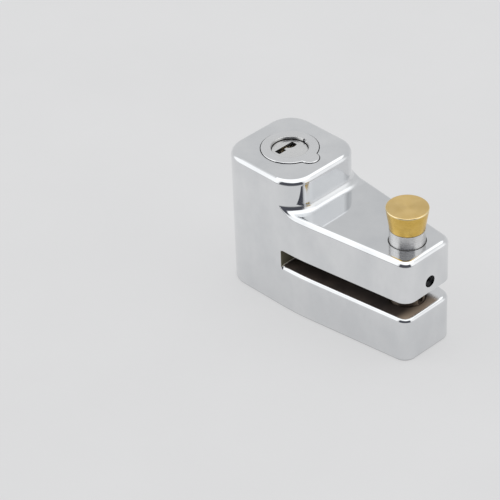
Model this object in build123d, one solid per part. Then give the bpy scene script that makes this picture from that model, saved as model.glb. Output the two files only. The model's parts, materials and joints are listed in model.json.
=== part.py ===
"""Motorcycle disc brake lock: chromed casting, wafer key cylinder, cam-driven bolt, pull-out pin.

Millimetres, +Z up. The lock stands on its flat base: the origin is the middle of the base,
+X runs from the key tower to the open end of the disc slot. It is drawn unlocked, with the
locking pin down across the slot, the bolt drawn back and the wafers flush with the plug.
"""
import os
from math import cos, radians, sin

from build123d import *

# ---- casting -------------------------------------------------------------------------
LENGTH = 79.64
WIDTH = 33.4
END_WIDTH = 21.86
TOWER_LENGTH = 34.2
TOWER_TOP = 51.2
ARM_TOP = 39.4
TOWER_CORNER_R = 9.3
TOWER_CREASE = 0.04  # how far the tower's wall stands out of the side, so that it meets it at a crease
END_CORNER_R = 4.55
SIDE_BEND_R = 100.0
FOOT_FILLET_R = 2.75
EDGE_R = 2.0
BASE_EDGE_R = 0.6

SLOT_FLOOR = 16.8
SLOT_CEILING = 23.3
SLOT_DEPTH = 51.64
SLOT_ROOT_R = 0.8
SLOT_LOWER_EDGE_R = 1.6
SLOT_UPPER_EDGE_R = 0.5

BACK = -LENGTH / 2
FRONT = LENGTH / 2
TOWER_FACE = BACK + TOWER_LENGTH
SLOT_ROOT = FRONT - SLOT_DEPTH

# ---- locking pin and its bore --------------------------------------------------------
PIN_X = 29.75
PIN_R = 6.0
PIN_TIP = 13.3
PIN_SHOULDER = 44.4
PIN_TRAVEL = 10.2
PIN_CHAMFER = 0.9
SPIGOT_R = 3.5
SPIGOT_TOP = 50.0
BORE_R = 6.08
BORE_MOUTH_R = 6.25
BORE_MOUTH_DEPTH = 0.8
SOCKET_R = 6.15
SOCKET_FLOOR = 12.8
BORE_MOUTH_CHAMFER = 0.1
SOCKET_CHAMFER = 0.3

KNOB_LOW_R = 5.86
KNOB_TOP_R = 7.17
KNOB_TOP = 52.44
KNOB_RIM_R = 0.4

SEAL_WIRE_R = 0.7
SEAL_R = 6.75
SEAL_GROOVE_FLOOR = 36.6
SEAL_GROOVE_HEIGHT = 1.5
SEAL_GROOVE_R = 7.55

# ---- bolt line: one drilling from the end face to the tower's cavity -----------------
BOLT_Z = 27.8
BOLT_R = 2.1
DRILLING_R = 2.15
BOLT_TIP_GAP = 0.31
BOLT_TIP_CHAMFER = 0.4
NOTCH_R = 2.25
NOTCH_DEPTH = 2.75
STOP_SLOT_R = 1.1
STOP_SLOT_DEPTH = 1.5
STOP_SCREW_OUTER = 38.4
STOP_SCREW_INNER = 36.2
STOP_DOG_R = 1.0
STOP_DOG_TIP = 34.6
HEX_R = 1.15
HEX_DEPTH = 1.3

# ---- key cylinder, measured from its own axis ----------------------------------------
CYL_X = -23.32
CAVITY_R = 8.1
CAVITY_FLOOR = 25.5
BARREL_R = 8.05
BARREL_BOTTOM = 33.8
FLANGE_BOTTOM = 49.2
FLANGE_TOP = 51.55
FLANGE_R = 9.75
FLANGE_EDGE_R = 0.3
FLANGE_GAP = 0.26
LOBE_R = 3.3
LOBE_OFFSET = 9.2
FACE_HOLE_R = 6.25
FACE_HOLE_CHAMFER = 0.2
INDEX_NOTCH_R = 0.65
INDEX_NOTCH_ANGLE = 84.0
HEAD_R = 6.2
HEAD_BOTTOM = 49.45
PLUG_TOP = 50.4
PLUG_EDGE = 0.2
PLUG_R = 5.7
PLUG_BORE_R = 5.75
TAIL_R = 5.0
PLUG_BOTTOM = 31.75
KEY_TURN = 90.0
SLIP = 0.05

KEYWAY_X = -1.68
KEYWAY_Y = -0.2
KEYWAY_WIDTH = 2.25
KEYWAY_LENGTH = 8.2
KEYWAY_BOTTOM = 35.4
WARD_DEPTH = 1.0
WARD_LOW = -1.05
WARD_HIGH = 0.0
KEYWAY_BULGE = 0.35  # how far the rounded stretch beyond the ward stands out past the straight side
KEYWAY_BULGE_Y = 1.8

WAFER_PITCH = 1.7
WAFER_FIRST_Z = 37.2
WAFER_THICK = 0.9
WAFER_LEFT = -4.4
WAFER_RIGHT = 1.0
WAFER_END_R = 5.6
WAFER_TRAVEL = 0.6
WINDOW_LENGTH = 7.2
WINDOW_EASE = 0.1
TAB_WIDTH = 1.3
TAB_LOW = -0.6
TAB_HIGH = 0.4
BITTING = [0.3, -0.2, 0.1, 0.4, -0.3, 0.0]  # how far each wafer's window is off the middle
BROACH_R = 6.7
BROACH_EASE = 0.12

SPRING_R = 0.5
SPRING_WIRE_R = 0.11
SPRING_TURNS = 5
SPRING_FAR = -4.1
SPRING_END_GAP = 0.05
SPRING_POCKET = 1.35

RING_GROOVE_R = 4.3
RING_OUTER_R = 6.5
RING_BOTTOM = 33.0
RING_THICK = 0.7
RING_OPENING = 5.0

CAM_BOTTOM = 30.15
CAM_TOP = 31.7
CAM_R = 5.4
CAM_EAR_R = 7.6
CAM_TANG_WIDTH = 2.0
CAM_TANG_LENGTH = 9.0
CAM_TANG_TOP = 32.7
ECCENTRIC = 1.8
ECCENTRIC_R = 1.3
ECCENTRIC_ANGLE = 135.0
ECCENTRIC_BOTTOM = 26.6
STOP_LUG_INNER_R = 6.8
STOP_LUG_OUTER_R = 7.9
STOP_LUG_ANGLE = 118.0
STOP_LUG_MIDDLE = -45.0
STOP_EASE = 1.0

YOKE_BOTTOM = 25.6
YOKE_TOP = 30.05
YOKE_LEFT = -6.2
YOKE_RIGHT = 4.2
YOKE_HALF_WIDTH = 4.0
YOKE_CORNER_R = 1.0
YOKE_SLOT_EASE = 0.12
YOKE_SLOT_LOW = -0.4
YOKE_SLOT_HIGH = 3.4
YOKE_SLOT_FLOOR = 26.3
ROD_HEAD = 1.2
ROD_NECK = 3.0
ROD_HEAD_R = 1.7
ROD_NECK_R = 1.1

ROLL_PIN_R = 1.0
ROLL_PIN_BORE_R = 0.5
ROLL_PIN_Z = 47.9
ROLL_PIN_TIP = -6.35
ROLL_PIN_DEPTH = 0.2

NEAR = 0.001
PAST = 1.0  # how far a cutting shape reaches past the face that it opens
RIM_BAND = 0.7  # edges this near to the casting's side belong to its rim


# ---- helpers -------------------------------------------------------------------------
def post(x, y, low, high, radius):
    """Upright cylinder."""
    return Pos(x, y, low) * Cylinder(radius, high - low, align=(Align.CENTER, Align.CENTER, Align.MIN))


def rod(left, right, radius, z=BOLT_Z):
    """Cylinder along +X in the middle plane."""
    upright = Cylinder(radius, right - left, align=(Align.CENTER, Align.CENTER, Align.MIN))
    return Pos(left, 0, z) * Rot(0, 90, 0) * upright


def block(x0, x1, y0, y1, z0, z1):
    """Box from its lowest to its highest corner."""
    return Pos(x0, y0, z0) * Box(x1 - x0, y1 - y0, z1 - z0, align=(Align.MIN, Align.MIN, Align.MIN))


def mouth(x, z, radius, size):
    """Cone that breaks the edge of an upright hole at its upper end."""
    cone = Cone(radius, radius + size, size, align=(Align.CENTER, Align.CENTER, Align.MIN))
    return Pos(x, 0, z - size) * cone


def sector(inner, outer, low, high, middle, angle):
    """Piece of a ring about the Z axis, centred on the direction `middle`, in degrees."""
    arc = CenterArc((0, 0), outer, middle - angle / 2, angle)
    wedge = make_face(Curve() + [Line((0, 0), arc @ 0), arc, Line(arc @ 1, (0, 0))])
    piece = Pos(0, 0, low) * extrude(wedge, high - low)
    return piece - post(0, 0, low, high, inner) if inner else piece


def flat_edges(shape, z):
    """Edges that lie level at one height."""
    return [e for e in shape.edges() if e.bounding_box().size.Z < NEAR and abs((e @ 0.5).Z - z) < NEAR]


def at_cylinder(shape):
    """Move a piece drawn about the Z axis to the key cylinder's axis."""
    return Pos(CYL_X, 0, 0) * shape


# ---- casting -------------------------------------------------------------------------
def block_outline():
    """Plan of the casting: a straight stretch under the tower, then an even taper."""
    stations = [(BACK, WIDTH / 2), (TOWER_FACE, WIDTH / 2), (FRONT, END_WIDTH / 2)]
    right_side = [(x, -half) for x, half in stations]
    left_side = [(x, half) for x, half in reversed(stations)]
    face = make_face(Polyline(*right_side, *left_side, close=True))
    for radius, x in ((TOWER_CORNER_R, BACK), (SIDE_BEND_R, TOWER_FACE), (END_CORNER_R, FRONT)):
        face = fillet([v for v in face.vertices() if abs(v.X - x) < NEAR], radius)
    return face


def space_over_arm():
    """The space beside the tower, above the arm, with the rounded foot of the tower wall."""
    half = WIDTH / 2 + TOWER_CREASE
    over = block(2 * BACK, LENGTH, -LENGTH, LENGTH, ARM_TOP, TOWER_TOP + PAST)
    corners = [(3 * BACK, -half), (TOWER_FACE, -half), (TOWER_FACE, half), (3 * BACK, half)]
    plan = make_face(Polyline(*corners, close=True))
    plan = fillet([v for v in plan.vertices() if v.X > BACK], TOWER_CORNER_R)
    space = over - Pos(0, 0, ARM_TOP - PAST) * extrude(plan, TOWER_TOP)
    foot = [e for e in flat_edges(space, ARM_TOP) if abs((e @ 0.5).Y) < half + NEAR and (e @ 0.5).X < 0]
    return fillet(foot, FOOT_FILLET_R)


def arm_rim(shape):
    """The arm's top outer edges, with the ends that climb the tower's foot and fade out."""
    level = flat_edges(shape, ARM_TOP)
    ahead = [e for e in level if (e @ 0.5).X > 0]
    beside = WIDTH / 2 - RIM_BAND
    bends = [e for e in level if (e @ 0.5).X < 0 and abs((e @ 0.5).Y) > beside]
    climbs = [e for e in shape.edges().filter_by(GeomType.BSPLINE) if abs((e @ 0.5).Y) > beside]
    return ahead + bends + climbs


def slot_edges(shape, height):
    """Outer lips of the disc slot at one of its two faces."""
    return [e for e in flat_edges(shape, height) if (e @ 0.5).X > SLOT_ROOT + NEAR]


def casting_blank():
    """The casting's outside, with its edges rounded and the disc slot cut."""
    blank = extrude(block_outline(), TOWER_TOP) - space_over_arm()
    blank = fillet(arm_rim(blank), EDGE_R)
    blank = fillet(flat_edges(blank, TOWER_TOP), EDGE_R)
    blank = fillet(flat_edges(blank, 0), BASE_EDGE_R)
    blank -= block(SLOT_ROOT, FRONT + PAST, -WIDTH, WIDTH, SLOT_FLOOR, SLOT_CEILING)
    blank = fillet(slot_edges(blank, SLOT_FLOOR), SLOT_LOWER_EDGE_R)
    blank = fillet(slot_edges(blank, SLOT_CEILING), SLOT_UPPER_EDGE_R)
    root = [e for e in blank.edges().filter_by(Axis.Y) if abs((e @ 0.5).X - SLOT_ROOT) < NEAR]
    return fillet(root, SLOT_ROOT_R)


def lock_body():
    body = casting_blank()
    body -= flange_plate(FLANGE_BOTTOM, TOWER_TOP + PAST, FLANGE_GAP)
    body -= post(CYL_X, 0, CAVITY_FLOOR, FLANGE_BOTTOM, CAVITY_R)
    body -= post(PIN_X, 0, SLOT_CEILING - PAST, ARM_TOP, BORE_R)
    body -= post(PIN_X, 0, ARM_TOP - BORE_MOUTH_DEPTH, ARM_TOP, BORE_MOUTH_R)
    body -= mouth(PIN_X, ARM_TOP, BORE_MOUTH_R, BORE_MOUTH_CHAMFER)
    body -= post(PIN_X, 0, SEAL_GROOVE_FLOOR, SEAL_GROOVE_FLOOR + SEAL_GROOVE_HEIGHT, SEAL_GROOVE_R)
    body -= post(PIN_X, 0, SOCKET_FLOOR, SLOT_FLOOR, SOCKET_R)
    body -= mouth(PIN_X, SLOT_FLOOR, SOCKET_R, SOCKET_CHAMFER)
    body -= rod(CYL_X, FRONT + PAST, DRILLING_R)
    body -= rod(BACK - PAST, CYL_X, ROLL_PIN_R + SLIP, z=ROLL_PIN_Z)
    return body


# ---- key cylinder --------------------------------------------------------------------
def flange_plate(low, high, gap=0.0):
    """Round flange with the lobe that keeps it from turning, `gap` larger all round."""
    plate = post(CYL_X, 0, low, high, FLANGE_R + gap)
    return plate + post(CYL_X + LOBE_OFFSET, 0, low, high, LOBE_R + gap)


def wafer_z(index):
    return WAFER_FIRST_Z + index * WAFER_PITCH


def broach():
    """Grooves in the barrel that the wafers spring out into, for one position of the plug."""
    low, high = wafer_z(-0.5), wafer_z(len(BITTING) - 0.5)
    groove = block(WAFER_LEFT - BROACH_EASE, WAFER_RIGHT + BROACH_EASE, -BROACH_R, BROACH_R, low, high)
    return groove & post(0, 0, low, high, BROACH_R)


def cylinder_housing():
    housing = flange_plate(FLANGE_BOTTOM, FLANGE_TOP)
    housing += post(CYL_X, 0, BARREL_BOTTOM, HEAD_BOTTOM, BARREL_R)
    lug = STOP_LUG_INNER_R, STOP_LUG_OUTER_R, CAM_BOTTOM, BARREL_BOTTOM + PAST
    housing += at_cylinder(sector(*lug, STOP_LUG_MIDDLE, STOP_LUG_ANGLE))
    housing -= post(CYL_X, 0, BARREL_BOTTOM - PAST, FLANGE_TOP, PLUG_BORE_R)
    housing -= post(CYL_X, 0, HEAD_BOTTOM - SLIP, FLANGE_TOP, FACE_HOLE_R)
    housing -= mouth(CYL_X, FLANGE_TOP, FACE_HOLE_R, FACE_HOLE_CHAMFER)
    notch = post(FACE_HOLE_R, 0, PLUG_TOP, FLANGE_TOP + PAST, INDEX_NOTCH_R)
    housing -= at_cylinder(Rot(0, 0, INDEX_NOTCH_ANGLE) * notch)
    for angle in (0, -KEY_TURN):
        housing -= at_cylinder(Rot(0, 0, angle) * broach())
    housing -= rod(CYL_X - BARREL_R - PAST, CYL_X + ROLL_PIN_TIP, ROLL_PIN_R + SLIP, z=ROLL_PIN_Z)
    centre = Vector(CYL_X, 0, FLANGE_TOP)
    rim = [e for e in flat_edges(housing, FLANGE_TOP) if (e @ 0.5 - centre).length > BARREL_R]
    return fillet(rim, FLANGE_EDGE_R)


def keyway():
    """Slot for the flat key: one side is straight, the other has the ward and a rounded stretch."""
    left, right = KEYWAY_X - KEYWAY_WIDTH / 2, KEYWAY_X + KEYWAY_WIDTH / 2
    low, high = KEYWAY_Y - KEYWAY_LENGTH / 2, KEYWAY_Y + KEYWAY_LENGTH / 2
    ward_tip = right - WARD_DEPTH
    ward = [(ward_tip, WARD_HIGH), (ward_tip, WARD_LOW), (right, WARD_LOW)]
    straight = Polyline(*ward, (right, low), (left, low), (left, high), (right, high))
    rounded = ThreePointArc((right, high), (right + KEYWAY_BULGE, KEYWAY_BULGE_Y), (ward_tip, WARD_HIGH))
    height = PLUG_TOP + PAST - KEYWAY_BOTTOM
    return Pos(0, 0, KEYWAY_BOTTOM) * extrude(make_face(straight + rounded), height)


def own_side(index):
    """Wafers are sprung to +Y and to -Y in turn."""
    return 1 if index % 2 == 0 else -1


def to_own_side(shape, index):
    return shape if own_side(index) > 0 else mirror(shape, about=Plane.XZ)


def wafer_space(index):
    """Slot for one wafer right across the plug, with its spring's pocket."""
    z = wafer_z(index)
    half = WAFER_THICK / 2 + SLIP
    slot = block(WAFER_LEFT - SLIP, WAFER_RIGHT + SLIP, -PLUG_BORE_R, PLUG_BORE_R, z - half, z + half)
    right = WAFER_RIGHT + TAB_WIDTH + 3 * SLIP
    half = SPRING_POCKET / 2
    pocket = block(WAFER_RIGHT, right, SPRING_FAR, TAB_HIGH + WAFER_TRAVEL + 2 * SLIP, z - half, z + half)
    return slot + to_own_side(pocket, index)


def cylinder_plug():
    plug = chamfer(flat_edges(post(0, 0, HEAD_BOTTOM, PLUG_TOP, HEAD_R), PLUG_TOP), PLUG_EDGE)
    plug += post(0, 0, BARREL_BOTTOM, HEAD_BOTTOM, PLUG_R)
    plug += post(0, 0, PLUG_BOTTOM, BARREL_BOTTOM, TAIL_R)
    low, high = RING_BOTTOM - SLIP, RING_BOTTOM + RING_THICK + SLIP
    plug -= post(0, 0, low, high, TAIL_R) - post(0, 0, low, high, RING_GROOVE_R)
    plug -= keyway()
    half = CAM_TANG_WIDTH / 2 + SLIP
    plug -= block(-TAIL_R, TAIL_R, -half, half, PLUG_BOTTOM, CAM_TANG_TOP + SLIP)
    for index in range(len(BITTING)):
        plug -= wafer_space(index)
    return at_cylinder(plug)


def wafer(index):
    """Thin plate with a window for the key and a tab that its spring pushes on."""
    low, high = wafer_z(index) - WAFER_THICK / 2, wafer_z(index) + WAFER_THICK / 2
    plate = block(WAFER_LEFT, WAFER_RIGHT, -WAFER_END_R, WAFER_END_R, low, high)
    plate &= post(0, 0, low, high, WAFER_END_R)
    half_x, half_y = KEYWAY_WIDTH / 2 + WINDOW_EASE, WINDOW_LENGTH / 2
    middle = own_side(index) * KEYWAY_Y + BITTING[index]
    plate -= block(KEYWAY_X - half_x, KEYWAY_X + half_x, middle - half_y, middle + half_y, low, high)
    plate += block(WAFER_RIGHT, WAFER_RIGHT + TAB_WIDTH, TAB_LOW, TAB_HIGH, low, high)
    return at_cylinder(to_own_side(plate, index))


def wafer_spring(index):
    """Coil between the end of its pocket and the wafer's tab."""
    margin = SPRING_WIRE_R + SPRING_END_GAP
    length = TAB_LOW - SPRING_FAR - 2 * margin
    coil = Helix(pitch=length / SPRING_TURNS, height=length, radius=SPRING_R)
    section = Plane(origin=coil @ 0, z_dir=coil % 0) * Circle(SPRING_WIRE_R)
    wire = Rot(-90, 0, 0) * sweep(section, path=coil)
    wire = Pos(WAFER_RIGHT + TAB_WIDTH / 2 + SLIP, SPRING_FAR + margin, wafer_z(index)) * wire
    return at_cylinder(to_own_side(wire, index))


def plug_retaining_ring():
    """Circlip with an open side."""
    top = RING_BOTTOM + RING_THICK
    ring = post(0, 0, RING_BOTTOM, top, RING_OUTER_R) - post(0, 0, RING_BOTTOM, top, RING_GROOVE_R + SLIP)
    return at_cylinder(ring - block(0, RING_OUTER_R, -RING_OPENING / 2, RING_OPENING / 2, RING_BOTTOM, top))


def housing_retaining_pin():
    """Slotted spring pin through the tower's back wall."""
    left, right = BACK + ROLL_PIN_DEPTH, CYL_X + ROLL_PIN_TIP
    pin = rod(left, right, ROLL_PIN_R, z=ROLL_PIN_Z) - rod(left, right, ROLL_PIN_BORE_R, z=ROLL_PIN_Z)
    slit = ROLL_PIN_BORE_R / 3
    return pin - block(left, right, -slit, slit, ROLL_PIN_Z, ROLL_PIN_Z + 2 * ROLL_PIN_R)


# ---- bolt and its drive --------------------------------------------------------------
def drive_cam():
    """Disc with the stop ear, the tang that the plug turns, and the eccentric pin."""
    cam = post(0, 0, CAM_BOTTOM, CAM_TOP, CAM_R)
    ear_angle = 360 - STOP_LUG_ANGLE - KEY_TURN - 2 * STOP_EASE
    ear_middle = STOP_LUG_MIDDLE - STOP_LUG_ANGLE / 2 - STOP_EASE - ear_angle / 2
    cam += sector(0, CAM_EAR_R, CAM_BOTTOM, CAM_TOP, ear_middle, ear_angle)
    half_x, half_y = CAM_TANG_LENGTH / 2, CAM_TANG_WIDTH / 2
    cam += block(-half_x, half_x, -half_y, half_y, CAM_TOP, CAM_TANG_TOP)
    x, y = ECCENTRIC * cos(radians(ECCENTRIC_ANGLE)), ECCENTRIC * sin(radians(ECCENTRIC_ANGLE))
    cam += post(x, y, ECCENTRIC_BOTTOM, CAM_BOTTOM, ECCENTRIC_R)
    return at_cylinder(cam)


def arched_pocket(x0, x1, radius):
    """Pocket along X, open below, with a round roof at the bolt's height."""
    return block(x0, x1, -radius, radius, YOKE_BOTTOM, BOLT_Z) + rod(x0, x1, radius)


def bolt_yoke():
    """Sliding block: a cross slot for the eccentric pin, and a pocket that hooks the bolt's head."""
    yoke = block(YOKE_LEFT, YOKE_RIGHT, -YOKE_HALF_WIDTH, YOKE_HALF_WIDTH, YOKE_BOTTOM, YOKE_TOP)
    yoke = fillet(yoke.edges().filter_by(Axis.Z), YOKE_CORNER_R)
    middle = ECCENTRIC * cos(radians(ECCENTRIC_ANGLE))
    half = ECCENTRIC_R + YOKE_SLOT_EASE
    yoke -= block(middle - half, middle + half, YOKE_SLOT_LOW, YOKE_SLOT_HIGH, YOKE_SLOT_FLOOR, YOKE_TOP)
    yoke -= arched_pocket(ROD_HEAD, ROD_NECK, ROD_HEAD_R + SLIP)
    yoke -= arched_pocket(ROD_NECK, YOKE_RIGHT, ROD_NECK_R + SLIP)
    return at_cylinder(yoke)


def bolt_rod():
    """Bolt with a necked head in the yoke; its tip stops just short of the locking pin."""
    head, neck, shank = CYL_X + ROD_HEAD + SLIP, CYL_X + ROD_NECK - SLIP, CYL_X + YOKE_RIGHT + 2 * SLIP
    tip = PIN_X - PIN_R - BOLT_TIP_GAP
    bolt = rod(shank, tip, BOLT_R)
    bolt = chamfer([e for e in bolt.edges() if (e @ 0.5).X > tip - NEAR], BOLT_TIP_CHAMFER)
    return bolt + rod(neck, shank, ROD_NECK_R) + rod(head, neck, ROD_HEAD_R)


# ---- locking pin ---------------------------------------------------------------------
def locking_pin():
    """Pin with a bolt notch for each of its two positions, and the slot for the stop screw."""
    pin = post(PIN_X, 0, PIN_TIP, PIN_SHOULDER, PIN_R)
    pin = chamfer(flat_edges(pin, PIN_TIP), PIN_CHAMFER)
    pin += post(PIN_X, 0, PIN_SHOULDER, SPIGOT_TOP, SPIGOT_R)
    left, right = PIN_X - PIN_R, PIN_X + PIN_R
    low = BOLT_Z - PIN_TRAVEL
    for z in (low, BOLT_Z):
        pin -= rod(left - PAST, left + NOTCH_DEPTH, NOTCH_R, z=z)
        pin -= rod(right - STOP_SLOT_DEPTH, right + PAST, STOP_SLOT_R, z=z)
    return pin - block(right - STOP_SLOT_DEPTH, right + PAST, -STOP_SLOT_R, STOP_SLOT_R, low, BOLT_Z)


def pull_knob():
    """Knob that flares upwards, pressed on the pin's spigot."""
    outline = [(0, PIN_SHOULDER), (KNOB_LOW_R, PIN_SHOULDER), (KNOB_TOP_R, KNOB_TOP), (0, KNOB_TOP)]
    section = make_face(Polyline(*outline, close=True))
    section = fillet(section.vertices().sort_by(Axis.X)[-1], KNOB_RIM_R)
    knob = Pos(PIN_X, 0, 0) * revolve(Plane.XZ * section, Axis.Z)
    return knob - post(PIN_X, 0, PIN_SHOULDER, SPIGOT_TOP + SLIP, SPIGOT_R + SLIP / 2)


def bore_seal_ring():
    return Pos(PIN_X, 0, SEAL_GROOVE_FLOOR + SEAL_GROOVE_HEIGHT / 2) * Torus(SEAL_R, SEAL_WIRE_R)


def travel_stop_screw():
    """Dog-point set screw in the end face's hole; its dog rides in the pin's slot."""
    screw = rod(STOP_SCREW_INNER, STOP_SCREW_OUTER, BOLT_R)
    screw += rod(STOP_DOG_TIP, STOP_SCREW_INNER, STOP_DOG_R)
    socket_floor = Plane(origin=(STOP_SCREW_OUTER - HEX_DEPTH, 0, BOLT_Z), z_dir=(1, 0, 0))
    return screw - extrude(socket_floor * RegularPolygon(HEX_R, 6), HEX_DEPTH)


# ---- every piece, by node name -------------------------------------------------------
def pieces():
    made = {
        "lock_body": lock_body(),
        "cylinder_housing": cylinder_housing(),
        "cylinder_plug": cylinder_plug(),
        "plug_retaining_ring": plug_retaining_ring(),
        "housing_retaining_pin": housing_retaining_pin(),
        "drive_cam": drive_cam(),
        "bolt_yoke": bolt_yoke(),
        "bolt_rod": bolt_rod(),
        "locking_pin": locking_pin(),
        "pull_knob": pull_knob(),
        "bore_seal_ring": bore_seal_ring(),
        "travel_stop_screw": travel_stop_screw(),
    }
    for index in range(len(BITTING)):
        made[f"wafer_{index + 1}"] = wafer(index)
        made[f"wafer_spring_{index + 1}"] = wafer_spring(index)
    return made


if __name__ == "__main__":
    os.makedirs("parts", exist_ok=True)
    for node, shape in pieces().items():
        export_step(shape, f"parts/{node}.step")
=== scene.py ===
"""Looks of the disc brake lock: mirror chrome casting, satin key cylinder, steel pin, gold knob.

Metres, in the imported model's frame: +Z up, +X from the key tower to the open end of the slot.
"""
import json
from math import cos, pi, radians, sin

import bpy
from mathutils import Matrix, Vector


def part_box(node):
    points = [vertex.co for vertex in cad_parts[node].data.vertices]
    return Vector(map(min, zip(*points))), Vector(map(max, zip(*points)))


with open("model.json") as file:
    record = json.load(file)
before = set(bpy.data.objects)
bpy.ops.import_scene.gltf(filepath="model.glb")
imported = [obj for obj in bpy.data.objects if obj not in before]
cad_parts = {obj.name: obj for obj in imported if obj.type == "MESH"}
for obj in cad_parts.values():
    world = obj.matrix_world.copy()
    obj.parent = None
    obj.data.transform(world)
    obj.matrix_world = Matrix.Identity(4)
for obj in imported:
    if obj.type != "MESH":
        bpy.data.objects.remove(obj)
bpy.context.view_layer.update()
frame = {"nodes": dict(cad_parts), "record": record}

MM = 0.001
NODES = frame["nodes"]


# ---- places that come from the frame ---------------------------------------------------
def upright_axis(node):
    """Where the upright line through a node's middle meets the floor."""
    low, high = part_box(node)
    centre = (low + high) / 2
    return Vector((centre.x, centre.y, 0))


CYLINDER_AXIS = upright_axis("cylinder_plug")
PIN_AXIS = upright_axis("locking_pin")
BODY_LOW, BODY_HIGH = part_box("lock_body")
# The record's opening is a little smaller than the slot itself.
SLOT_BOX = frame["record"]["physics"]["openings"][0]["box_m"]
SLOT_ROOT_X = SLOT_BOX[0][0] - 0.82 * MM
SLOT_LOW, SLOT_HIGH = SLOT_BOX[0][2] - 0.2 * MM, SLOT_BOX[1][2] + 0.1 * MM
SLOT_END_X = BODY_HIGH.x
TOWER_LENGTH = 34.2 * MM
TOWER_FACE_X = BODY_LOW.x + TOWER_LENGTH
ARM_TOP_Z = 39.4 * MM
PLUG_TOP_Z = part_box("cylinder_plug")[1].z
# Radii of painted shade: the ring round the pin where it enters the arm, and the tower's hollow.
PIN_RING_R = 6.28 * MM
TOWER_HOLLOW_R = 13.5 * MM
# Radii of the plug's recess, which is darkened with painted shade.
RECESS_INNER_R, RECESS_OUTER_R = 6.2 * MM, 6.55 * MM


# ---- node helpers ----------------------------------------------------------------------
class Nodes:
    """A node tree, with short calls for the nodes used here."""

    def __init__(self, tree, coordinates):
        self.tree = tree
        self.place = tree.nodes.new("ShaderNodeTexCoord").outputs[coordinates]

    def node(self, kind, inputs=None, **settings):
        made = self.tree.nodes.new(kind)
        for key, value in settings.items():
            setattr(made, key, value)
        for key, value in (inputs or {}).items():
            self.put(made.inputs[key], value)
        return made

    def put(self, socket, value):
        if isinstance(value, bpy.types.NodeSocket):
            self.tree.links.new(value, socket)
        else:
            socket.default_value = value

    def math(self, operation, a, b=0.0, clamp=False):
        made = self.node("ShaderNodeMath", operation=operation, use_clamp=clamp)
        self.put(made.inputs[0], a)
        self.put(made.inputs[1], b)
        return made.outputs[0]

    def moved(self, origin=(0, 0, 0), scale=(1, 1, 1)):
        """Object coordinates, measured from `origin` and stretched."""
        shift = self.node("ShaderNodeVectorMath", operation="SUBTRACT")
        self.put(shift.inputs[0], self.place)
        self.put(shift.inputs[1], origin)
        stretch = self.node("ShaderNodeVectorMath", operation="MULTIPLY")
        self.put(stretch.inputs[0], shift.outputs[0])
        self.put(stretch.inputs[1], scale)
        return stretch.outputs[0]

    def noise(self, size, detail=2.0, roughness=0.5, scale=(1, 1, 1)):
        """Noise whose blobs are about `size` metres across."""
        made = self.node("ShaderNodeTexNoise", {"Scale": 1 / size, "Detail": detail, "Roughness": roughness})
        self.put(made.inputs["Vector"], self.moved(scale=scale))
        return made.outputs["Fac"]

    def lines(self, measure, pitch, detail, roughness=0.5):
        """Fine lines across a measure, about `pitch` metres apart."""
        values = {"Scale": 1.0, "Detail": detail, "Roughness": roughness}
        made = self.node("ShaderNodeTexNoise", values, noise_dimensions="1D")
        self.put(made.inputs["W"], self.math("MULTIPLY", measure, 1 / pitch))
        return made.outputs["Fac"]

    def spread(self, value, low, high, to_low=0.0, to_high=1.0, smooth=False):
        """Maps low..high to to_low..to_high, clamped."""
        made = self.node("ShaderNodeMapRange", interpolation_type="SMOOTHSTEP" if smooth else "LINEAR")
        for socket, number in zip(made.inputs[:5], (value, low, high, to_low, to_high)):
            self.put(socket, number)
        return made.outputs[0]

    def mix(self, factor, a, b):
        made = self.node("ShaderNodeMix", data_type="RGBA")
        self.put(made.inputs["Factor"], factor)
        self.put(made.inputs[6], a)
        self.put(made.inputs[7], b)
        return made.outputs[2]

    def bump(self, height, depth, strength=1.0, under=None):
        """Bump from a height of 0..1 that is `depth` metres deep."""
        made = self.node("ShaderNodeBump", {"Height": height, "Distance": depth, "Strength": strength})
        if under is not None:
            self.put(made.inputs["Normal"], under)
        return made.outputs[0]

    def axis_values(self, origin):
        """Distance from an upright axis, and height, both in metres."""
        parts = self.node("ShaderNodeSeparateXYZ", {"Vector": self.moved(origin)})
        x, y, z = parts.outputs
        away = self.math("SQRT", self.math("ADD", self.math("MULTIPLY", x, x), self.math("MULTIPLY", y, y)))
        return away, z

    def within(self, value, low, high, soft):
        """1 inside low..high, falling to 0 over `soft` outside it."""
        rise = self.spread(value, low - soft, low, smooth=True)
        fall = self.spread(value, high, high + soft, 1.0, 0.0, smooth=True)
        return self.math("MULTIPLY", rise, fall)


class Shader(Nodes):
    """A material with the principled shader."""

    def __init__(self, name):
        self.material = bpy.data.materials.new(name)
        self.material.use_nodes = True
        super().__init__(self.material.node_tree, "Object")
        self.bsdf = self.tree.nodes["Principled BSDF"]

    def surface(self, **values):
        """Sets the principled shader's sockets; underscores stand for spaces."""
        for key, value in values.items():
            self.put(self.bsdf.inputs[key.replace("_", " ")], value)
        return self.material


# ---- materials -------------------------------------------------------------------------
QUARTER_TURN = 0.25


def hollows(s, z):
    """1 near the pin's axis, and near the key cylinder's axis below the tower's top: where painted shade
    goes, dark in the ring round the pin where it enters the arm and in the tower's hollow.

    Neither has a lower limit, so both also reach the underside of the base.
    """
    by_pin = s.spread(s.axis_values(PIN_AXIS)[0], PIN_RING_R, PIN_RING_R + 0.04 * MM, 1.0, 0.0)
    by_key = s.math(
        "MULTIPLY",
        s.spread(s.axis_values(CYLINDER_AXIS)[0], TOWER_HOLLOW_R, TOWER_HOLLOW_R + 0.1 * MM, 1.0, 0.0),
        s.spread(z, BODY_HIGH.z - 0.08 * MM, BODY_HIGH.z - 0.04 * MM, 1.0, 0.0),
    )
    return s.math("MAXIMUM", by_pin, by_key)


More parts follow.
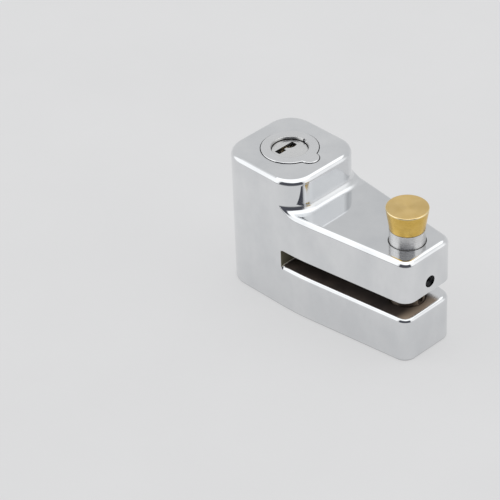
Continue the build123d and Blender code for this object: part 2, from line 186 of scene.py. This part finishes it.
def bare_slot(s, x, y, z):
    """1 where the slot has no chrome: all of it but a strip at the open end and its back corner."""
    along = s.within(x, SLOT_ROOT_X - 0.1 * MM, SLOT_END_X - 1.3 * MM, 0.1 * MM)
    back_corner = s.math(
        "MULTIPLY",
        s.spread(x, SLOT_END_X - 9 * MM, SLOT_END_X - 7 * MM, smooth=True),
        s.spread(y, 4 * MM, 7 * MM, smooth=True),
    )
    in_slot = s.within(z, SLOT_LOW - 0.12 * MM, SLOT_HIGH, 0.04 * MM)
    return s.math("MULTIPLY", in_slot, s.math("SUBTRACT", along, back_corner, clamp=True))


def slot_colour(s, x, z):
    """Brown stain, lighter towards the open end as painted light; the root wall is a lighter olive as
    painted light, with a painted highlight along its foot.
    """
    blotches = s.spread(s.noise(6 * MM, detail=5), 0.35, 0.65)
    stain = s.mix(blotches, (0.055, 0.044, 0.04, 1), (0.10, 0.078, 0.065, 1))
    # Painted light: the stain lightens towards the open end, where light enters the slot.
    near_end = s.spread(x, SLOT_END_X - 6 * MM, SLOT_END_X - 2 * MM, smooth=True)
    # Painted highlight: a light line along the foot of the root wall.
    highlight_and_shade_seam = s.math(
        "MULTIPLY",
        s.within(x, SLOT_ROOT_X + 0.1 * MM, SLOT_ROOT_X + 0.35 * MM, 0.05 * MM),
        s.spread(z, SLOT_LOW + 0.5 * MM, SLOT_LOW + 0.7 * MM, 1.0, 0.0),
    )
    # Painted light: the root wall is a lighter olive, with the painted highlight at its foot.
    at_root = s.spread(x, SLOT_ROOT_X + 0.1 * MM, SLOT_ROOT_X + 0.4 * MM, 1.0, 0.0)
    root_wall = s.mix(highlight_and_shade_seam, (0.20, 0.185, 0.125, 1), (0.9, 0.86, 0.72, 1))
    return s.mix(at_root, s.mix(near_end, stain, (0.42, 0.33, 0.25, 1)), root_wall)


def tower_inner_wall(s, x, z):
    """1 on the tower's wall above the arm, where painted shade darkens the chrome and the plating is
    rougher.
    """
    return s.math(
        "MULTIPLY",
        s.within(x, TOWER_FACE_X - 0.3 * MM, TOWER_FACE_X + 0.3 * MM, 0.2 * MM),
        s.spread(z, ARM_TOP_Z + 0.5 * MM, ARM_TOP_Z + 2 * MM, smooth=True),
    )


def plating_colour(s, x, z, inner_wall):
    """Chrome, darkened by painted shade low down, on the arm's top and on the inner wall, with a dark
    painted contact shadow along the base's edge.
    """
    smear = s.noise(13 * MM, detail=4, roughness=0.55, scale=(1, 1, 0.6))
    unshaded = s.mix(s.spread(smear, 0.35, 0.65), (0.83, 0.838, 0.845, 1), (0.745, 0.757, 0.77, 1))
    # Painted shade: darker towards the bottom, where the floor's contact shadow is reflected.
    low_down = s.spread(z, 2 * MM, 22 * MM, 0.3, 0.0, smooth=True)
    # Painted shade: a darker tone on the arm's top, away from the tower's foot.
    on_arm = s.math(
        "MULTIPLY",
        s.within(z, ARM_TOP_Z - 0.05 * MM, ARM_TOP_Z + 0.2 * MM, 0.15 * MM),
        s.spread(x, TOWER_FACE_X + 1 * MM, TOWER_FACE_X + 4 * MM, 0.0, 0.4, smooth=True),
    )
    # Painted shade: the darkening low down, on the arm's top and on the inner wall, in one mask.
    painted_shade_mask = s.math("MAXIMUM", low_down, s.math("MAXIMUM", on_arm, inner_wall))
    # Painted contact shadow: a dark line along the base's lower edge.
    at_base = s.spread(z, 0.2 * MM, 0.65 * MM, 1.0, 0.0, smooth=True)
    return s.mix(at_base, s.mix(painted_shade_mask, unshaded, (0.66, 0.67, 0.685, 1)), (0.2, 0.2, 0.205, 1))


def unpolished_foot(s, x, y, z):
    """1 in the rounded foot between arm and tower, where a wheel can't polish; 0 at its front end."""
    foot = s.math(
        "MULTIPLY",
        s.within(x, TOWER_FACE_X, TOWER_FACE_X + 2.5 * MM, 1.5 * MM),
        s.within(z, ARM_TOP_Z - 0.5 * MM, ARM_TOP_Z + 2.5 * MM, 3 * MM),
    )
    return s.math("MULTIPLY", foot, s.spread(y, -15 * MM, -11 * MM, smooth=True))


def chrome():
    """Mirror plating with a polished casting's slight waves; matt and unplated in the slot, where painted
    light and a painted highlight fall, and dark with painted shade in the pin's ring and the tower's hollow.
    """
    s = Shader("chromed_casting")
    x, y, z = s.node("ShaderNodeSeparateXYZ", {"Vector": s.place}).outputs
    # Where painted shade goes: the ring round the pin and the tower's hollow.
    hollow = hollows(s, z)
    # Unplated slot and painted shade in the hollows: matt and non-metal, coloured as the slot's colour or a
    # near-black painted shade.
    bare_and_painted_shade = s.math("MAXIMUM", bare_slot(s, x, y, z), hollow)
    dull_with_painted_shade = s.mix(hollow, slot_colour(s, x, z), (0.03, 0.027, 0.025, 1))
    # The inner wall's painted shade, at half strength; it also makes the wall rougher.
    inner_wall = s.math("MULTIPLY", tower_inner_wall(s, x, z), 0.5)
    bright = plating_colour(s, x, z, inner_wall)
    unpolished = s.math("MAXIMUM", unpolished_foot(s, x, y, z), inner_wall)
    gloss = s.spread(s.noise(0.5 * MM, detail=6, roughness=0.7), 0.3, 0.75, 0.035, 0.075)
    rough = s.math("ADD", gloss, s.math("MULTIPLY", bare_and_painted_shade, 0.4))
    rough = s.math("ADD", rough, s.math("MULTIPLY", unpolished, 0.16))
    waves = s.bump(s.noise(11 * MM, detail=1), 0.055 * MM)
    peel = s.bump(s.noise(1.6 * MM, detail=2), 0.0012 * MM, under=waves)
    return s.surface(
        Base_Color=s.mix(bare_and_painted_shade, bright, dull_with_painted_shade),
        Metallic=s.math("SUBTRACT", 1.0, bare_and_painted_shade),
        Roughness=rough,
        Normal=peel,
    )


def turned_steel(name, axis, low, high, rough):
    """Satin metal with the fine rings that facing on a lathe leaves; matt and darker with painted shade in
    the plug's recess.
    """
    s = Shader(name)
    away, z = s.axis_values(axis)
    rings = s.lines(s.math("ADD", away, z), 0.16 * MM, detail=4)
    cloud = s.noise(3 * MM, detail=4)
    face = s.mix(cloud, (*low, 1), (*high, 1))
    recess = s.math(
        "MULTIPLY",
        s.spread(away, RECESS_INNER_R, RECESS_INNER_R + 0.04 * MM),
        s.spread(away, RECESS_OUTER_R, RECESS_OUTER_R + 0.05 * MM, 1.0, 0.0),
    )
    highlight_and_shade_seam = s.math("MULTIPLY", recess, s.spread(z, PLUG_TOP_Z + 0.2 * MM, PLUG_TOP_Z + 0.4 * MM, 1.0, 0.0))
    gloss = s.spread(rings, 0.3, 0.7, rough * 0.8, rough * 1.25)
    # Painted shade: matt grey in the recess, near black below the plug's top.
    dull_with_painted_shade = s.mix(highlight_and_shade_seam, (0.62, 0.62, 0.615, 1), (0.07, 0.065, 0.06, 1))
    return s.surface(
        Base_Color=s.mix(recess, face, dull_with_painted_shade),
        Metallic=1.0,
        Roughness=s.math("ADD", gloss, s.math("MULTIPLY", recess, 0.22)),
        Normal=s.bump(rings, 0.0025 * MM),
    )


def ground_steel(name, axis, low, high, rough):
    """Bright steel with grinding lines round its axis; darker and brownish with painted shade where it stays
    in the lock.
    """
    s = Shader(name)
    _, z = s.axis_values(axis)
    lines = s.lines(z, 0.22 * MM, detail=5, roughness=0.7)
    streaks = s.spread(s.noise(2.5 * MM, detail=3, scale=(1, 1, 0.35)), 0.3, 0.7)
    unshaded = s.mix(streaks, (*low, 1), (*high, 1))
    # Painted shade: dark brownish steel where the pin stays in the arm and the slot.
    painted_shade_brown = s.mix(streaks, (0.16, 0.125, 0.095, 1), (0.26, 0.21, 0.17, 1))
    in_lock = s.spread(z, SLOT_HIGH, SLOT_HIGH + 4 * MM, 1.0, 0.0)
    gloss = s.spread(lines, 0.3, 0.7, rough * 0.7, rough * 1.4)
    return s.surface(
        Base_Color=s.mix(in_lock, unshaded, painted_shade_brown),
        Metallic=1.0,
        Roughness=s.math("ADD", gloss, s.math("MULTIPLY", in_lock, 0.15)),
        Normal=s.bump(lines, 0.0006 * MM),
        Anisotropic=0.95,
        Anisotropic_Rotation=QUARTER_TURN,
    )


def machined_steel(name, low, high, rough):
    """Plain inner steel parts with a slightly mottled, machined face."""
    s = Shader(name)
    mottle = s.noise(1.2 * MM, detail=6, roughness=0.65)
    colour = s.mix(s.spread(mottle, 0.35, 0.65), (*low, 1), (*high, 1))
    scratch = s.noise(0.25 * MM, detail=3, scale=(1, 0.12, 1))
    gloss = s.spread(scratch, 0.3, 0.7, rough * 0.75, rough * 1.3)
    return s.surface(Base_Color=colour, Metallic=1.0, Roughness=gloss, Normal=s.bump(scratch, 0.004 * MM))


def gilt():
    """Gold-coloured plating: a finely turned top, a rim lightened by a painted highlight, a streaked side,
    an underside darkened by painted shade.
    """
    s = Shader("gilt_brass")
    low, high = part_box("pull_knob")
    away, z = s.axis_values(PIN_AXIS)
    on_top = s.spread(z, high.z - 0.12 * MM, high.z - 0.03 * MM)
    # Painted highlight: a lighter band of gold on the top's rim.
    on_rim = s.within(z, high.z - 0.42 * MM, high.z - 0.08 * MM, 0.05 * MM)
    # Painted shade: the underside is near black.
    underneath = s.spread(z, low.z + 0.08 * MM, low.z + 0.12 * MM, 1.0, 0.0)
    cloud = s.spread(s.noise(4 * MM, detail=4), 0.3, 0.7)
    side = s.mix(cloud, (0.70, 0.46, 0.105, 1), (0.79, 0.54, 0.15, 1))
    top = s.mix(cloud, (0.70, 0.50, 0.20, 1), (0.76, 0.56, 0.25, 1))
    seen = s.mix(on_rim, s.mix(on_top, side, top), (0.92, 0.76, 0.46, 1))
    rings = s.lines(s.math("ADD", away, z), 0.2 * MM, detail=3)
    gloss = s.spread(rings, 0.3, 0.7, 0.25, 0.32)
    top_gloss = s.math("ADD", gloss, s.math("MULTIPLY", on_top, 0.08))
    return s.surface(
        Base_Color=s.mix(underneath, seen, (0.06, 0.05, 0.025, 1)),
        Metallic=1.0,
        Roughness=s.math("SUBTRACT", top_gloss, s.math("MULTIPLY", on_rim, 0.13)),
        Normal=s.bump(rings, 0.0008 * MM),
        Anisotropic=0.5,
        Anisotropic_Rotation=QUARTER_TURN,
    )


def rubber():
    """Black seal rubber with a finely grained skin."""
    s = Shader("seal_rubber")
    skin = s.noise(0.3 * MM, detail=4)
    return s.surface(
        Base_Color=s.mix(skin, (0.012, 0.012, 0.012, 1), (0.03, 0.03, 0.03, 1)),
        Roughness=s.spread(skin, 0.3, 0.7, 0.45, 0.65),
        Normal=s.bump(skin, 0.01 * MM),
    )


def blackened():
    """Black oxide on a screw, greyer in patches where it has worn."""
    s = Shader("blackened_steel")
    skin = s.noise(0.4 * MM, detail=5)
    worn = s.spread(skin, 0.55, 0.75)
    return s.surface(
        Base_Color=s.mix(worn, (0.008, 0.008, 0.009, 1), (0.05, 0.048, 0.045, 1)),
        Metallic=0.6,
        Roughness=s.spread(skin, 0.3, 0.7, 0.35, 0.55),
        Normal=s.bump(skin, 0.004 * MM),
    )


MATERIALS = {
    "chromed_casting": chrome(),
    "cylinder_steel": turned_steel(
        "cylinder_steel", CYLINDER_AXIS, (0.78, 0.785, 0.79), (0.84, 0.845, 0.85), 0.10
    ),
    "plug_steel": turned_steel("plug_steel", CYLINDER_AXIS, (0.77, 0.77, 0.765), (0.84, 0.84, 0.835), 0.2),
    "pin_steel": ground_steel("pin_steel", PIN_AXIS, (0.70, 0.695, 0.69), (0.80, 0.795, 0.79), 0.31),
    "plain_steel": machined_steel("plain_steel", (0.42, 0.42, 0.43), (0.56, 0.56, 0.57), 0.3),
    "spring_steel": machined_steel("spring_steel", (0.30, 0.30, 0.31), (0.42, 0.42, 0.43), 0.25),
    "wafer_brass": machined_steel("wafer_brass", (0.42, 0.31, 0.14), (0.56, 0.43, 0.22), 0.3),
    "gilt_brass": gilt(),
    "seal_rubber": rubber(),
    "blackened_steel": blackened(),
}


def dress_nodes():
    """Gives every CAD node its slot's material."""
    slots = {part["node"]: part["material_slot"] for part in frame["record"]["subparts"]}
    for name, node in NODES.items():
        node.data.materials.clear()
        node.data.materials.append(MATERIALS[slots[name]])


# ---- floor, light and camera -----------------------------------------------------------
FRONT_AZIMUTH = radians(-49)
FRONT_HALF_WIDTH, FRONT_SOFT = radians(44), radians(6)
FRONT_TOP, FRONT_TOP_SOFT = radians(44), radians(6)
SHADE_FROM, SHADE_FULL = 0.14, 0.32
GLOW, SHADED_GLOW = 0.52, 0.08
FLOOR_REACH = 3.0


def turned(nodes, x, y, azimuth):
    """How far a place lies towards an azimuth."""
    along_x = nodes.math("MULTIPLY", x, cos(azimuth))
    along_y = nodes.math("MULTIPLY", y, sin(azimuth))
    return nodes.math("ADD", along_x, along_y)


def floor():
    """Pale cloth that glows a little, as if lit from below, and falls into shade at the open front."""
    mesh = bpy.data.meshes.new("floor")
    corners = [(x * FLOOR_REACH, y * FLOOR_REACH, 0) for x, y in ((-1, -1), (1, -1), (1, 1), (-1, 1))]
    mesh.from_pydata(corners, [], [(0, 1, 2, 3)])
    plane = bpy.data.objects.new("floor", mesh)
    bpy.context.scene.collection.objects.link(plane)
    s = Shader("floor_cloth")
    cloud = s.noise(60 * MM, detail=5, roughness=0.6)
    weave = s.noise(1.2 * MM, detail=3)
    colour = s.mix(s.spread(cloud, 0.3, 0.7), (0.195, 0.195, 0.197, 1), (0.21, 0.21, 0.212, 1))
    x, y, _ = s.node("ShaderNodeSeparateXYZ", {"Vector": s.place}).outputs
    towards_front = turned(s, x, y, FRONT_AZIMUTH)
    s.surface(
        Base_Color=colour,
        Roughness=0.9,
        Normal=s.bump(weave, 0.05 * MM, strength=0.5),
        Emission_Color=(1.0, 1.0, 1.005, 1),
        Emission_Strength=s.spread(towards_front, SHADE_FROM, SHADE_FULL, GLOW, SHADED_GLOW, smooth=True),
        Specular_IOR_Level=0.1,
    )
    mesh.materials.append(s.material)


BACK_WALL = (0.668, 0.673, 0.68, 1)
LEFT_PANEL = (1.22, 1.23, 1.24, 1)
RIGHT_PANEL = (1.12, 1.125, 1.13, 1)
ROOF_COLOUR = (1.36, 1.37, 1.38, 1)
FRONT_COLOUR = (0.085, 0.088, 0.105, 1)
PANEL_FROM, PANEL_SOFT = radians(60), radians(14)
LEFT_TO, LEFT_FADE = radians(108), radians(14)
RIGHT_TO, RIGHT_FADE = radians(85), radians(35)
PANEL_LOW, PANEL_HIGH = radians(-2), radians(9)
ROOF_FROM, ROOF_FULL, ROOF_DROP = radians(51), radians(57), radians(8)


def studio():
    """A white light tent: grey back wall, bright side panels and roof, and a dark open front."""
    world = bpy.data.worlds.new("studio")
    bpy.context.scene.world = world
    world.use_nodes = True
    sky = Nodes(world.node_tree, "Generated")
    x, y, z = sky.node("ShaderNodeSeparateXYZ", {"Vector": sky.place}).outputs
    elevation = sky.math("ARCSINE", z)
    level_squared = sky.math("SUBTRACT", 1.0, sky.math("MULTIPLY", z, z))
    level = sky.math("MAXIMUM", sky.math("SQRT", level_squared), 0.001)
    off_front = sky.math("ARCCOSINE", sky.math("DIVIDE", turned(sky, x, y, FRONT_AZIMUTH), level))
    right_side = sky.spread(turned(sky, x, y, FRONT_AZIMUTH + pi / 2), -0.1, 0.1)
    begun = sky.spread(off_front, PANEL_FROM - PANEL_SOFT, PANEL_FROM, smooth=True)
    risen = sky.spread(elevation, PANEL_LOW, PANEL_HIGH, smooth=True)
    shown = sky.math("MULTIPLY", begun, risen)
    halves = []
    for colour, ends, fade in ((LEFT_PANEL, LEFT_TO, LEFT_FADE), (RIGHT_PANEL, RIGHT_TO, RIGHT_FADE)):
        still = sky.spread(off_front, ends, ends + fade, 1.0, 0.0, smooth=True)
        halves.append(sky.mix(sky.math("MULTIPLY", shown, still), BACK_WALL, colour))
    walls = sky.mix(right_side, *halves)
    height = sky.math("ADD", elevation, sky.math("MULTIPLY", right_side, ROOF_DROP))
    tent = sky.mix(sky.spread(height, ROOF_FROM, ROOF_FULL, smooth=True), walls, ROOF_COLOUR)
    beside = sky.spread(off_front, FRONT_HALF_WIDTH, FRONT_HALF_WIDTH + FRONT_SOFT, 1.0, 0.0, smooth=True)
    under = sky.spread(elevation, FRONT_TOP, FRONT_TOP + FRONT_TOP_SOFT, 1.0, 0.0, smooth=True)
    light = sky.mix(sky.math("MULTIPLY", beside, under), tent, FRONT_COLOUR)
    sky.put(world.node_tree.nodes["Background"].inputs["Color"], light)
    bpy.context.scene.view_settings.view_transform = "Standard"


PITCH, HEADING, ROLL = radians(36.004), radians(136.945), radians(-2.343)
EYE = Vector((0.4594, -0.4710, 0.4997))
LENS, SENSOR = 175.1, 36.0


def camera():
    """The viewing angle: from above the open end's front corner, with a slight roll."""
    ahead = Vector((cos(PITCH) * cos(HEADING), cos(PITCH) * sin(HEADING), -sin(PITCH)))
    right = Vector((sin(HEADING), -cos(HEADING), 0))
    up = right.cross(ahead)
    right, up = right * cos(ROLL) + up * sin(ROLL), up * cos(ROLL) - right * sin(ROLL)
    data = bpy.data.cameras.new("camera")
    data.lens = LENS
    data.sensor_width = SENSOR
    data.clip_start = 0.01
    eye = bpy.data.objects.new("camera", data)
    bpy.context.scene.collection.objects.link(eye)
    eye.matrix_world = Matrix.Translation(EYE) @ Matrix((right, up, -ahead)).transposed().to_4x4()
    bpy.context.scene.camera = eye


dress_nodes()
floor()
studio()
camera()
